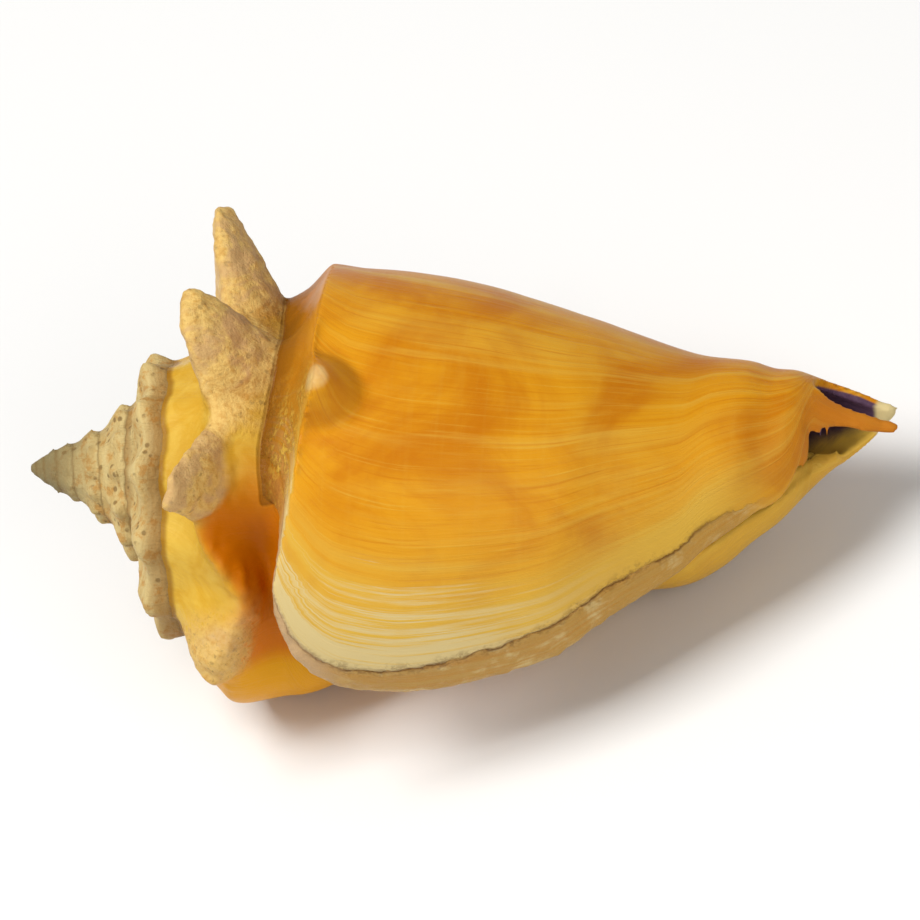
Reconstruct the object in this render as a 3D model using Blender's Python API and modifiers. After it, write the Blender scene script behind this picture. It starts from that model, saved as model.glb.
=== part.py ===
"""Shell of the West Indian fighting conch, Strombus pugilis, lying on its underside.

The shell is worked out in its own frame, in millimetres: the height runs along the coiling axis from the apex to the
front canal, the radius is measured from that axis, and the growth angle in degrees follows the coil. The growth angle
0 faces the viewer one turn before the lip, and the lip's edge stands near 415. A right-handed shell seen from the
apex grows clockwise.
"""

import math

import bmesh
import bpy
import numpy as np
from mathutils import Matrix, Vector

MM = 0.001
NAME = "conch_shell"

# Coiling: growth angle, height of the suture, height and radius of the shoulder
WHORLS = (
    (-2880, 0.15, 0.35, 0.35),
    (-2520, 0.3, 0.85, 0.8),
    (-2160, 0.9, 1.6, 1.35),
    (-1800, 1.8, 2.85, 2.15),
    (-1440, 3.2, 4.5, 2.75),
    (-1080, 5.0, 7.1, 4.3),
    (-720, 7.9, 10.4, 7.0),
    (-360, 10.9, 14.4, 12.5),
    (-270, 12.1, 15.8, 15.0),
    (-90, 14.2, 21.5, 15.6),
    (0, 14.9, 22.0, 16.4),
    (90, 15.5, 22.0, 17.8),
    (180, 18.8, 26.0, 19.6),
    (270, 25.1, 30.2, 21.4),
    (310, 26.5, 30.9, 22.5),
    (335, 26.2, 31.0, 23.0),
    (350, 25.8, 30.8, 23.4),
    (370, 26.5, 29.8, 24.0),
    (391, 26.9, 28.4, 24.6),
    (425, 27.0, 28.6, 25.4),
)

# How hollow the ramp is on the large whorls, and the growth angles where it turns from straight to hollow
RAMP_HOLLOW = 0.4
STRAIGHT_UNTIL = -620
CONCAVE_FROM = -420

# Outline of the body whorl where it is 21.6 across the shoulder: height, radius
BODY = (
    (30.0, 21.6),
    (36.0, 21.5),
    (41.0, 21.1),
    (46.0, 20.3),
    (51.0, 19.0),
    (56.0, 17.3),
    (60.5, 15.0),
    (66.5, 12.3),
    (72.5, 9.9),
    (75.0, 8.3),
    (77.0, 7.4),
    (79.4, 5.6),
    (82.0, 4.0),
    (84.0, 3.2),
    (86.0, 2.3),
)
LENGTH = 86.0
BODY_LENGTH = LENGTH - BODY[0][0]

# Sideways bend of the axis towards growth angle 270: height, offset
BEND = (
    (50.0, 0.0),
    (55.0, 0.2),
    (60.5, 1.2),
    (67.5, 2.3),
    (72.5, 3.9),
    (77.0, 5.7),
    (79.4, 6.8),
    (82.0, 7.8),
    (86.0, 8.2),
)

# Spines: growth angle, rise, half width before and after that angle in degrees, reach towards the apex and towards
# the canal, lean towards the apex
SPINES = (
    (-270, 1.3, 20, 14, 3.0, 4.0, 0.8),
    (-225, 2.0, 20, 14, 2.5, 4.0, 0.4),
    (-180, 4.4, 20, 14, 2.5, 4.5, 0.6),
    (-135, 7.0, 20, 14, 4.0, 5.5, 0.8),
    (-90, 11.3, 18, 24, 2.6, 5.4, 2.5),
    (-47, 8.3, 15, 26, 3.0, 7.2, 3.4),
    (6, 8.4, 25, 9, 2.0, 3.1, 2.9),
    (66, 3.8, 26, 12, 5.2, 3.0, 1.6),
    (160, 4.5, 20, 14, 3.0, 6.5, 1.0),
    (212, 3.5, 20, 14, 3.0, 6.0, 0.8),
    (266, 0.4, 18, 12, 2.5, 4.0, 0.3),
    (338, 4.3, 12, 10, 2.6, 5.8, -1.2),
)
SPINE_TIP = 0.21
SPINE_ROUND = 0.09
SPINE_TAPER = 1.15
SEAT_CLIMB = 0.5

# Keel that joins the feet of the spines: growth angle, rise and lean towards the apex
KEEL = (
    (-600, 0.2, 0.5),
    (-400, 0.4, 0.7),
    (-225, 1.0, 0.7),
    (-135, 1.6, 0.7),
    (-70, 1.9, 0.7),
    (0, 1.9, 0.7),
    (15, 1.6, 1.8),
    (44, 2.0, -2.6),
    (62, 1.8, -1.0),
    (80, 1.2, 0.0),
    (130, 0.4, 0.3),
    (180, 0.0, 0.0),
)
KEEL_REACH = (2.4, 5.0)

# Knobs of the early whorls: angle between them, last one, and sizes for a shoulder radius of 1
KNOB_STEP = 30
LAST_KNOB = -300
KNOB_HEIGHT = 0.11
KNOB_LENGTH = 0.28
KNOB_LEAN = 0.06
KNOB_HALF_TURN = 12

# Dip of the whorl behind the third spine: growth angle, height, half width in degrees, half length, depth
DIP = (34, 25.6, 30, 4.6, 2.8)

# Callus pad beside the aperture: growth angle of its middle, half width in degrees, rise, and the heights where it
# starts, is full, starts to fade and ends
CALLUS = (104, 46, 3.9)
CALLUS_HEIGHTS = (17.0, 19.0, 26.0, 47.0)
CALLUS_BLUNTNESS = 1.5

# Edge of the lip on the ramp: share of the way from suture to shoulder, growth angle
SINUS_EDGE = ((0.0, 366), (0.5, 370), (0.8, 376), (1.0, 386))

# Edge of the lip below the shoulder: height, growth angle
LIP_EDGE = (
    (27.6, 386),
    (29.0, 401),
    (31.0, 412),
    (35.0, 420),
    (42.0, 423),
    (52.0, 422),
    (60.5, 418),
    (67.0, 413),
    (70.0, 405),
    (73.0, 403),
    (75.0, 403),
    (76.6, 401),
    (77.6, 396),
    (78.3, 384),
    (78.8, 364),
    (79.3, 343),
    (80.3, 350),
    (82.3, 362),
    (84.2, 378),
    (86.0, 398),
)

# Free edge of the inner lip: height, growth angle
INNER_EDGE = ((20.0, -30), (40.0, -30), (50.0, 10), (58.0, 42), (68.0, 45), (77.0, 46), (81.0, 60), (86.0, 90))

# Front end of the wall, with the notch between its two lobes: growth angle, height
FRONT_EDGE = (
    (60, 81.6),
    (105, 82.6),
    (150, 85.0),
    (230, 87.2),
    (243, 86.4),
    (256, 81.5),
    (270, 79.4),
    (295, 79.2),
    (311, 80.4),
    (335, 84.3),
    (350, 87.0),
    (365, 87.7),
    (400, 87.4),
)
NOTCH = (78.7, 79.4, 0.7)

# Thickness of the wall: height, thickness
WALL = ((20.0, 1.8), (30.0, 2.4), (50.0, 2.4), (66.0, 1.9), (76.0, 1.2), (86.0, 1.0))
LIP_SWELLING = 0.8
LIP_SWELLING_ANGLE = 30
RIM_WIDTH = ((28.0, 3.4), (42.0, 3.8), (52.0, 4.6), (60.0, 4.4), (68.0, 2.5), (75.0, 0.5))
RIM_STEP = 0.4
LIP_ROLL = 2.0
LIP_ROLL_ANGLE = 8
LIP_FLARE = 0.12
INNER_LIP_CURL = 0.17
MOUTH_DEPTH = 0.26

CORE_START = -2880
CORE_END = 150
AXIS_RADIUS = 0.2

# Pillar inside the shell: height, distance from the axis, radius
PILLAR = ((12.0, 0.0, 3.0), (40.0, 0.0, 5.0), (56.0, 0.5, 5.0), (68.0, 3.2, 4.2), (76.0, 3.6, 2.5), (79.0, 3.6, 1.2))
PILLAR_SIDE = 130

RAMP_ROWS = 8
BODY_ROWS = 30
CORE_STEP = 5
WALL_COLUMNS = 160
WALL_ROWS = 120
RAMP_SHARE = 0.22

# Rest: growth angle that faces the ground, tilt of the canal end towards it, and depth of the worn spots it rests on
BELLY_ANGLE = 136.5
REST_PITCH = 14.25
WORN_DEPTH = 0.4

VOXEL = 0.0006
SMOOTHING = 2
KEPT_SHARE = 0.076


class Curve:
    """Smooth curve through a few (position, value) points, flat beyond its ends."""

    def __init__(self, points, samples=2000):
        x, y = np.array(points, float).T
        slope = np.diff(y) / np.diff(x)
        tangent = np.zeros_like(y)
        inner = slope[1:] * slope[:-1] > 0
        tangent[1:-1][inner] = 2 * (slope[1:] * slope[:-1])[inner] / (slope[1:] + slope[:-1])[inner]
        tangent[0], tangent[-1] = slope[0], slope[-1]
        self.x = np.linspace(x[0], x[-1], samples)
        i = np.clip(np.searchsorted(x, self.x) - 1, 0, len(x) - 2)
        span = x[i + 1] - x[i]
        t = (self.x - x[i]) / span
        self.y = (
            (1 + 2 * t) * (1 - t) ** 2 * y[i]
            + t * (1 - t) ** 2 * span * tangent[i]
            + t**2 * (3 - 2 * t) * y[i + 1]
            + t**2 * (t - 1) * span * tangent[i + 1]
        )

    def __call__(self, x):
        return np.interp(x, self.x, self.y)


suture_height, shoulder_height, shoulder_radius = (
    Curve([(row[0], row[column]) for row in WHORLS]) for column in (1, 2, 3)
)
body_outline = Curve(BODY)
bend = Curve(BEND)
keel_rise = Curve([(growth, rise) for growth, rise, _ in KEEL])
keel_lean = Curve([(growth, lean) for growth, _, lean in KEEL])
sinus_edge = Curve(SINUS_EDGE)
lip_edge = Curve(LIP_EDGE)
inner_edge = Curve(INNER_EDGE)
front_edge = Curve(FRONT_EDGE)
wall_thickness = Curve(WALL)
rim_width = Curve(RIM_WIDTH)


def smooth_step(low, high, x):
    """0 below low and 1 above high, with an even rise between them."""
    t = np.clip((x - low) / (high - low), 0, 1)
    return t * t * (3 - 2 * t)


def to_space(height, radius, growth):
    """Points of the bent shell frame, as rows of x, y, z in millimetres."""
    turn = np.radians(growth)
    return np.stack([height, bend(height) - radius * np.sin(turn), radius * np.cos(turn)], axis=-1)


def cone(across, along):
    """Height of a blunt cone of foot radius 1, as a share of its full height."""
    climb = np.clip((1 - np.hypot(across, along)) / (1 - SPINE_TIP), 0, 1)
    rounded = (1 - np.hypot(1 - climb, SPINE_ROUND)) / (1 - SPINE_ROUND)
    return np.clip(rounded, 0, 1) ** SPINE_TAPER


def either_side(value, below, above):
    """Value as a share of its limit, which differs below and above zero."""
    return value / np.where(value > 0, above, below)


def spine_rise(growth, height):
    """Rise of the spines, their keel and the knobs above the whorl, and their lean towards the apex."""
    knob = KNOB_STEP * np.rint(growth / KNOB_STEP)
    size = shoulder_radius(knob) * (knob <= LAST_KNOB)
    bump = cone((growth - knob) / KNOB_HALF_TURN, (height - shoulder_height(knob)) / (KNOB_LENGTH * size + 1e-6))
    keel = cone(0, either_side(height - shoulder_height(growth), *KEEL_REACH))
    keel = keel * (growth > KEEL[0][0]) * (growth < KEEL[-1][0])
    rise = np.hypot(keel_rise(growth) * keel, KNOB_HEIGHT * size * bump)
    lean = keel_lean(growth) * keel + KNOB_LEAN * size * bump
    for angle, tall, before, after, ramp_reach, body_reach, tilt in SPINES:
        past = height - shoulder_height(angle)
        shape = cone(either_side(growth - angle, before, after), either_side(past, ramp_reach, body_reach))
        rise = np.hypot(rise, tall * shape)
        lean = lean + tilt * shape
    return rise, lean


def callus_rise(growth, height):
    """Rise of the callus pad, steep towards the apex and fading towards the canal."""
    middle, half_turn, tall = CALLUS
    start, full, fade, end = CALLUS_HEIGHTS
    around = 0.5 + 0.5 * np.cos(math.pi * np.clip(np.abs(growth - middle) / half_turn, 0, 1) ** CALLUS_BLUNTNESS)
    return tall * around * smooth_step(start, full, height) * smooth_step(end, fade, height)


def dip(growth, height):
    """Depth of the hollow behind the third spine."""
    angle, middle, half_turn, half_length, depth = DIP
    reach = np.clip(np.hypot((growth - angle) / half_turn, (height - middle) / half_length), 0, 1)
    return depth * (0.5 + 0.5 * np.cos(math.pi * reach))


def ramp_power(growth):
    """How hollow the ramp is: straight on the spire, concave on the large whorls."""
    return 1 + RAMP_HOLLOW * smooth_step(STRAIGHT_UNTIL, CONCAVE_FROM, growth)


def girth(growth, height, whole_height):
    """Radius of a plain whorl below its shoulder, had it grown to whole_height."""
    shoulder = shoulder_height(growth)
    reference = BODY[0][0] + BODY_LENGTH * np.clip((height - shoulder) / (whole_height - shoulder), 0, 1)
    radius = shoulder_radius(growth) * body_outline(reference) / BODY[0][1]
    narrowing = smooth_step(50, 72, height) * (growth > 60)
    radius = radius + (body_outline(reference) - radius) * narrowing
    radius = radius - NOTCH[2] * smooth_step(*NOTCH[:2], height) * smooth_step(305, 325, growth)
    flare = LIP_FLARE * smooth_step(300, 400, growth) * smooth_step(50, 66, height)
    curl = INNER_LIP_CURL * smooth_step(95, 45, growth) * smooth_step(50, 66, height)
    mouth = MOUTH_DEPTH * smooth_step(128, 85, growth) * smooth_step(28, 42, height) * smooth_step(68, 54, height)
    return radius * (1 + flare - (curl + mouth) * smooth_step(-60, 0, growth))


def natural_end(growth):
    """Height that a whorl of this size would reach by itself."""
    return shoulder_height(growth) + BODY_LENGTH * shoulder_radius(growth) / BODY[0][1]


def seat_radius(growth):
    """Radius at which a whorl sits on the one before it, climbing over that whorl's spines."""
    before = growth - 360
    height = suture_height(growth)
    return girth(before, height, natural_end(before)) + SEAT_CLIMB * spine_rise(before, height)[0]


def whorl(growth, row, whole_height, end_height, spines=True):
    """Surface of a whorl that would reach whole_height and is cut off at end_height.

    A row of 0 to 1 crosses the ramp from suture to shoulder, and 1 to 2 the body below it.
    """
    suture = suture_height(growth)
    shoulder = shoulder_height(growth)
    seat = seat_radius(growth)
    ramp = np.clip(row, 0, 1)
    fall = np.clip(row - 1, 0, 1) ** 1.2
    height = np.where(row < 1, suture + (shoulder - suture) * ramp, shoulder + (end_height - shoulder) * fall)
    above = seat + (shoulder_radius(growth) - seat) * ramp ** ramp_power(growth)
    radius = np.where(row < 1, above, girth(growth, height, whole_height))
    if spines:
        rise, lean = spine_rise(growth, height)
        radius = radius + rise + callus_rise(growth, height) - dip(growth, height)
        height = height - lean
    return height, radius


def grid_mesh(columns, rows):
    """Flat grid whose corners lie at 0 and 1, with the columns along x and the rows along y."""
    bm = bmesh.new()
    bmesh.ops.create_grid(bm, x_segments=columns, y_segments=rows, size=0.5)
    bmesh.ops.translate(bm, verts=bm.verts, vec=(0.5, 0.5, 0))
    return bm


def place(verts, points):
    """Moves each vertex to its point, given in millimetres."""
    for vert, point in zip(verts, points * MM):
        vert.co = point


def core():
    """Solid early whorls, up to where the shell turns hollow."""
    rows = RAMP_ROWS + BODY_ROWS + 4
    bm = grid_mesh((CORE_END - CORE_START) // CORE_STEP, rows)
    uv = np.array([vert.co[:2] for vert in bm.verts])
    growth = CORE_START + (CORE_END - CORE_START) * uv[:, 0]
    end_height = natural_end(growth)
    step = np.rint(uv[:, 1] * rows)
    row = np.clip((step - 1) / RAMP_ROWS, 0, 1) + np.clip((step - 1 - RAMP_ROWS) / BODY_ROWS, 0, 1)
    height, radius = whorl(growth, row, end_height, end_height)
    radius = np.where(step < 0.5, AXIS_RADIUS, radius)
    closing = np.clip((step - 1 - RAMP_ROWS - BODY_ROWS) / 3, 0, 1)
    radius = np.where(closing > 0, AXIS_RADIUS, radius)
    height = np.where(closing > 0, end_height + (suture_height(growth) - end_height) * (closing - 1 / 3) * 1.5, height)
    place(bm.verts, to_space(height, radius, growth))
    bmesh.ops.remove_doubles(bm, verts=bm.verts, dist=1e-7)
    bmesh.ops.holes_fill(bm, edges=[edge for edge in bm.edges if edge.is_boundary], sides=0)
    return bm


def lip_at(row, height):
    """Growth angle of the lip's edge."""
    return np.where(row < 1, sinus_edge(row), lip_edge(height))


def wall_surface(u, v, inside):
    """Outer or inner face of the last whorl's wall, where u runs with the growth and v from suture to canal."""
    row = np.where(v < RAMP_SHARE, v / RAMP_SHARE, 1 + (v - RAMP_SHARE) / (1 - RAMP_SHARE))
    growth = 60 + (400 - 60) * u
    for _ in range(3):
        height, _ = whorl(growth, row, LENGTH, front_edge(growth), spines=False)
        growth = inner_edge(height) + (lip_at(row, height) - inner_edge(height)) * u
    height, radius = whorl(growth, row, LENGTH, front_edge(growth), spines=not inside)
    before_edge = lip_at(row, height) - growth
    if inside:
        swelling = LIP_SWELLING * smooth_step(LIP_SWELLING_ANGLE, 0, before_edge) * smooth_step(74, 66, height)
        thickness = wall_thickness(height) + swelling
        slope = np.where(row < 1, 0.8, 0.3)
        radius = np.maximum(radius - thickness * np.sqrt(1 - slope**2), 0.3)
        height = height + thickness * np.where(row < 1, slope, -0.1)
    else:
        roll = np.clip(1 - before_edge / LIP_ROLL_ANGLE, 0, 1) * smooth_step(78, 74, height)
        radius = radius - LIP_ROLL * (1 - np.sqrt(1 - roll**2)) * np.where(row < 1, 0.4, 1)
        past_rim = np.radians(before_edge) * radius - rim_width(height)
        radius = radius - RIM_STEP * smooth_step(0.25, -0.25, past_rim) * smooth_step(72, 66, height) * (row > 1)
    return to_space(height, radius, growth)


def wall():
    """Hollow last whorl with its lip, notches and front canal."""
    bm = grid_mesh(WALL_COLUMNS, WALL_ROWS)
    u_layer = bm.verts.layers.float.new("u")
    v_layer = bm.verts.layers.float.new("v")
    for vert in bm.verts:
        vert[u_layer], vert[v_layer] = vert.co.x, vert.co.y
    outer = list(bm.verts)
    grown = bmesh.ops.extrude_face_region(bm, geom=bm.faces[:], use_keep_orig=True)["geom"]
    inner = [item for item in grown if isinstance(item, bmesh.types.BMVert)]
    for verts, inside in ((outer, False), (inner, True)):
        u = np.array([vert[u_layer] for vert in verts])
        v = np.array([vert[v_layer] for vert in verts])
        place(verts, wall_surface(u, v, inside))
    bmesh.ops.recalc_face_normals(bm, faces=bm.faces)
    return bm


def pillar():
    """Columella about which the whorls coil."""
    bm = bmesh.new()
    bmesh.ops.create_cone(bm, cap_ends=True, segments=20, radius1=1, radius2=1, depth=1)
    lengthwise = [edge for edge in bm.edges if abs(edge.verts[0].co.z - edge.verts[1].co.z) > 0.5]
    bmesh.ops.subdivide_edges(bm, edges=lengthwise, cuts=24)
    centre_offset = Curve([(h, off) for h, off, _ in PILLAR])
    pillar_radius = Curve([(h, r) for h, _, r in PILLAR])
    side = math.radians(PILLAR_SIDE)
    for vert in bm.verts:
        height = PILLAR[0][0] + (PILLAR[-1][0] - PILLAR[0][0]) * (vert.co.z + 0.5)
        radius = float(pillar_radius(height))
        away = float(centre_offset(height))
        y = float(bend(height)) + radius * vert.co.x - away * math.sin(side)
        z = radius * vert.co.y + away * math.cos(side)
        vert.co = Vector((height, y, z)) * MM
    bmesh.ops.recalc_face_normals(bm, faces=bm.faces)
    return bm


def joined(parts):
    """One mesh holding every part of a list of bmeshes."""
    mesh = bpy.data.meshes.new(NAME)
    whole = bmesh.new()
    for part in parts:
        part.to_mesh(mesh)
        part.free()
        whole.from_mesh(mesh)
    whole.to_mesh(mesh)
    whole.free()
    return mesh


def resting_turn():
    """Rotation from the shell frame to the resting one, with the belly down and the canal end lowered."""
    lay = Matrix.Rotation(math.radians(180 - BELLY_ANGLE), 4, "X")
    pitch = Matrix.Rotation(math.radians(REST_PITCH), 4, "Y")
    return pitch @ lay


def shell_material():
    """Glossy amber orange of the body whorl."""
    material = bpy.data.materials.new("amber_shell")
    material.use_nodes = True
    shader = material.node_tree.nodes["Principled BSDF"]
    shader.inputs["Base Color"].default_value = (0.68, 0.32, 0.06, 1)
    shader.inputs["Roughness"].default_value = 0.35
    shader.inputs["Metallic"].default_value = 0.0
    return material


def ground_cutter(collection):
    """Block below the ground, which wears the shell flat where it rests."""
    mesh = bpy.data.meshes.new("ground_cutter")
    bm = bmesh.new()
    bmesh.ops.create_cube(bm, size=2 * LENGTH * MM)
    bmesh.ops.translate(bm, verts=bm.verts, vec=(0, 0, -LENGTH * MM))
    bm.to_mesh(mesh)
    bm.free()
    cutter = bpy.data.objects.new("ground_cutter", mesh)
    collection.objects.link(cutter)
    cutter.hide_render = True
    cutter.display_type = "WIRE"
    return cutter


def lay_on_ground(shell):
    """Moves the shell over the origin, with its lowest spots just under the ground."""
    bpy.context.view_layer.update()
    solid = shell.evaluated_get(bpy.context.evaluated_depsgraph_get())
    box = np.array([solid.matrix_world @ Vector(corner) for corner in solid.bound_box])
    low, high = box.min(axis=0), box.max(axis=0)
    middle = (low + high) / 2
    shell.location = (-middle[0], -middle[1], -low[2] - WORN_DEPTH * MM)


def build():
    """Makes the shell and sets it down on the ground."""
    for old in list(bpy.data.objects):
        bpy.data.objects.remove(old)
    collection = bpy.data.collections.new("fighting_conch")
    cutters = bpy.data.collections.new("cutters")
    for group in (collection, cutters):
        bpy.context.scene.collection.children.link(group)
    mesh = joined([core(), wall(), pillar()])
    mesh.transform(resting_turn())
    mesh.materials.append(shell_material())
    shell = bpy.data.objects.new(NAME, mesh)
    collection.objects.link(shell)
    remesh = shell.modifiers.new("one_solid", "REMESH")
    remesh.mode = "VOXEL"
    remesh.voxel_size = VOXEL
    remesh.use_smooth_shade = True
    soften = shell.modifiers.new("soften", "SMOOTH")
    soften.factor = 0.5
    soften.iterations = SMOOTHING
    thin_out = shell.modifiers.new("fewer_faces", "DECIMATE")
    thin_out.ratio = KEPT_SHARE
    lay_on_ground(shell)
    worn = shell.modifiers.new("worn_spots", "BOOLEAN")
    worn.operation = "DIFFERENCE"
    worn.solver = "EXACT"
    worn.object = ground_cutter(cutters)


build()
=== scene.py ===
"""Looks of a West Indian fighting conch shell, Strombus pugilis, lying on its underside.

The shell is worked out in its own frame, in millimetres: the height runs along the coiling axis from the apex
to the front canal, the radius is measured from that axis, and the growth angle in degrees follows the coil.
The growth angle 0 faces the camera one turn before the lip, and the lip's edge stands near 420.
"""

import math

import bmesh
import bpy
import numpy as np
from mathutils import Matrix, Vector, noise


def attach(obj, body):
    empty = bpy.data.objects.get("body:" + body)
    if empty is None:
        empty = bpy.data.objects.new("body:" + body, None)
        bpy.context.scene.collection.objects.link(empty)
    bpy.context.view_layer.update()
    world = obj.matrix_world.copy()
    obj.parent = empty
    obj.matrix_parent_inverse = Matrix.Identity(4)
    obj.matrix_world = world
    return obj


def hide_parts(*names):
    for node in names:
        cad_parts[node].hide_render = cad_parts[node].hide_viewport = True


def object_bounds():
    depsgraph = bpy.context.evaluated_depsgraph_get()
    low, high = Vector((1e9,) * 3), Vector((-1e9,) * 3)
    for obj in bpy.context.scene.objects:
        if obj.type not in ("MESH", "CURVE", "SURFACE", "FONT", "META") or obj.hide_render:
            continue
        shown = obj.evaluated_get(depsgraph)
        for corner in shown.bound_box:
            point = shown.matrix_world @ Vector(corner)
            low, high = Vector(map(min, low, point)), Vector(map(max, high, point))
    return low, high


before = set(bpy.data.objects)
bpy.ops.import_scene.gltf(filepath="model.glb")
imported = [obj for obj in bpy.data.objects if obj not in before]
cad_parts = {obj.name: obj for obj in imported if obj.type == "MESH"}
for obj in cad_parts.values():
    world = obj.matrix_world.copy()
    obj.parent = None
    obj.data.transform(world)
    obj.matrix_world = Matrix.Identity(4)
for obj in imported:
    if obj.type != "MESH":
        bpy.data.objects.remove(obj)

bl_info = {
    "name": "Fighting Conch Shell",
    "version": (1, 0, 0),
    "blender": (4, 5, 0),
    "location": "3D View > Sidebar > Conch",
    "description": "Models and finishes a West Indian fighting conch shell",
    "category": "Add Mesh",
}

CAD_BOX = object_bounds()
NODE = "conch_shell"
MM = 0.001

# Coiling: growth angle, height of the suture, height and radius of the shoulder
WHORLS = (
    (-2880, 0.15, 0.35, 0.35), (-2520, 0.3, 0.85, 0.8), (-2160, 0.9, 1.6, 1.35),
    (-1800, 1.8, 2.85, 2.15), (-1440, 3.2, 4.5, 2.75), (-1080, 5.0, 7.1, 4.3),
    (-720, 7.9, 10.4, 7.0), (-360, 10.9, 14.4, 12.5), (-270, 12.1, 15.8, 15.0),
    (-90, 14.2, 21.5, 15.6), (0, 14.9, 22.0, 16.4), (90, 15.5, 22.0, 17.8), (180, 18.8, 26.0, 19.6),
    (270, 25.1, 30.2, 21.4), (310, 26.5, 30.9, 22.5), (335, 26.2, 31.0, 23.0),
    (350, 25.8, 30.8, 23.4), (370, 26.5, 29.8, 24.0), (391, 26.9, 28.4, 24.6),
    (425, 27.0, 28.6, 25.4),
)

# How hollow the ramp is on the large whorls, and the growth angles where it turns from straight to hollow
RAMP_HOLLOW = 0.4
STRAIGHT_UNTIL = -620
CONCAVE_FROM = -420

# Outline of the body whorl where it is 21.6 across the shoulder: height, radius
BODY = (
    (30.0, 21.6), (36.0, 21.5), (41.0, 21.1), (46.0, 20.3), (51.0, 19.0), (56.0, 17.3),
    (60.5, 15.0), (66.5, 12.3), (72.5, 9.9), (75.0, 8.3), (77.0, 7.4), (79.4, 5.6), (82.0, 4.0),
    (84.0, 3.2), (86.0, 2.3),
)
LENGTH = 86.0
BODY_LENGTH = LENGTH - BODY[0][0]

# Sideways bend of the axis towards growth angle 270: height, offset
BEND = (
    (50.0, 0.0), (55.0, 0.2), (60.5, 1.2), (67.5, 2.3), (72.5, 3.9), (77.0, 5.7), (79.4, 6.8),
    (82.0, 7.8), (86.0, 8.2),
)

# Spines: growth angle, rise, half width before and after that angle in degrees, reach towards the apex and to
# the canal, lean towards the apex
SPINES = (
    (-270, 1.3, 20, 14, 3.0, 4.0, 0.8), (-225, 2.0, 20, 14, 2.5, 4.0, 0.4),
    (-180, 4.4, 20, 14, 2.5, 4.5, 0.6), (-135, 7.0, 20, 14, 4.0, 5.5, 0.8),
    (-90, 11.3, 18, 24, 2.6, 5.4, 2.5), (-47, 8.3, 15, 26, 3.0, 7.2, 3.4),
    (6, 8.4, 25, 9, 2.0, 3.1, 2.9), (66, 3.8, 26, 12, 5.2, 3.0, 1.6),
    (160, 4.5, 20, 14, 3.0, 6.5, 1.0), (212, 3.5, 20, 14, 3.0, 6.0, 0.8),
    (266, 0.4, 18, 12, 2.5, 4.0, 0.3), (338, 4.3, 12, 10, 2.6, 5.8, -1.2),
)
SPINE_TIP = 0.21
SPINE_ROUND = 0.09
SPINE_TAPER = 1.15
SEAT_CLIMB = 0.5

# Keel that joins the feet of the spines: growth angle, rise and lean towards the apex
KEEL = (
    (-600, 0.2, 0.5), (-400, 0.4, 0.7), (-225, 1.0, 0.7), (-135, 1.6, 0.7), (-70, 1.9, 0.7),
    (0, 1.9, 0.7), (15, 1.6, 1.8), (44, 2.0, -2.6), (62, 1.8, -1.0), (80, 1.2, 0.0),
    (130, 0.4, 0.3), (180, 0.0, 0.0),
)
KEEL_REACH = (2.4, 5.0)

# Knobs of the early whorls: angle between them, last one, and sizes for a shoulder radius of 1
KNOB_STEP = 30
LAST_KNOB = -300
KNOB_HEIGHT = 0.11
KNOB_LENGTH = 0.28
KNOB_LEAN = 0.06
KNOB_HALF_TURN = 12

# Dip of the whorl behind the third spine: growth angle, height, half width in degrees, half length, depth
DIP = (34, 25.6, 30, 4.6, 2.8)

# Callus pad beside the aperture: growth angle of its middle, half width in degrees, rise, and the heights where
# it starts, is full, starts to fade and ends
CALLUS = (104, 46, 3.9)
CALLUS_HEIGHTS = (17.0, 19.0, 26.0, 47.0)
CALLUS_BLUNTNESS = 1.5

# Edge of the lip on the ramp: share of the way from suture to shoulder, growth angle
SINUS_EDGE = ((0.0, 366), (0.5, 370), (0.8, 376), (1.0, 386))

# Edge of the lip below the shoulder: height, growth angle
LIP_EDGE = (
    (27.6, 386), (29.0, 401), (31.0, 412), (35.0, 420), (42.0, 423), (52.0, 422), (60.5, 418),
    (67.0, 413), (70.0, 405), (73.0, 403), (75.0, 403), (76.6, 401), (77.6, 396), (78.3, 384),
    (78.8, 364), (79.3, 343), (80.3, 350), (82.3, 362), (84.2, 378), (86.0, 398),
)

# Free edge of the inner lip: height, growth angle
INNER_EDGE = ((20.0, -30), (40.0, -30), (50.0, 10), (58.0, 42), (68.0, 45), (77.0, 46), (81.0, 60), (86.0, 90))

# Front end of the wall, with the notch between its two lobes: growth angle, height
FRONT_EDGE = (
    (60, 81.6), (105, 82.6), (150, 85.0), (230, 87.2), (243, 86.4), (256, 81.5), (270, 79.4),
    (295, 79.2), (311, 80.4), (335, 84.3), (350, 87.0), (365, 87.7), (400, 87.4),
)

# Step before the notch: heights where it starts and is full, its depth, and the growth angles where it fades in
NOTCH = (78.7, 79.4, 0.7)
NOTCH_TURN = (305, 325)

# Thickness of the wall: height, thickness
WALL = ((20.0, 1.8), (30.0, 2.4), (50.0, 2.4), (66.0, 1.9), (76.0, 1.2), (86.0, 1.0))
LIP_SWELLING = 0.8
LIP_SWELLING_ANGLE = 30
RIM_WIDTH = ((28.0, 4.2), (36.0, 5.2), (52.0, 6.2), (60.0, 5.8), (66.0, 4.6), (72.0, 3.2), (77.0, 1.0))
RIM_STEP = 0.4
RIM_STEP_HALF_WIDTH = 0.25
RIM_STEP_HEIGHTS = (72, 66)
LIP_SWELLING_HEIGHTS = (74, 66)
LIP_ROLL = 2.0
LIP_ROLL_ANGLE = 8
LIP_ROLL_HEIGHTS = (78, 74)
RAMP_ROLL = 0.4

# Slope of the outer face against the axis on the ramp and on the body, and how far the body's inner face is
# shifted along the axis for a thickness of 1
RAMP_SLOPE = 0.8
BODY_SLOPE = 0.3
BODY_SHIFT = -0.1
LEAST_RADIUS = 0.3

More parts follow.
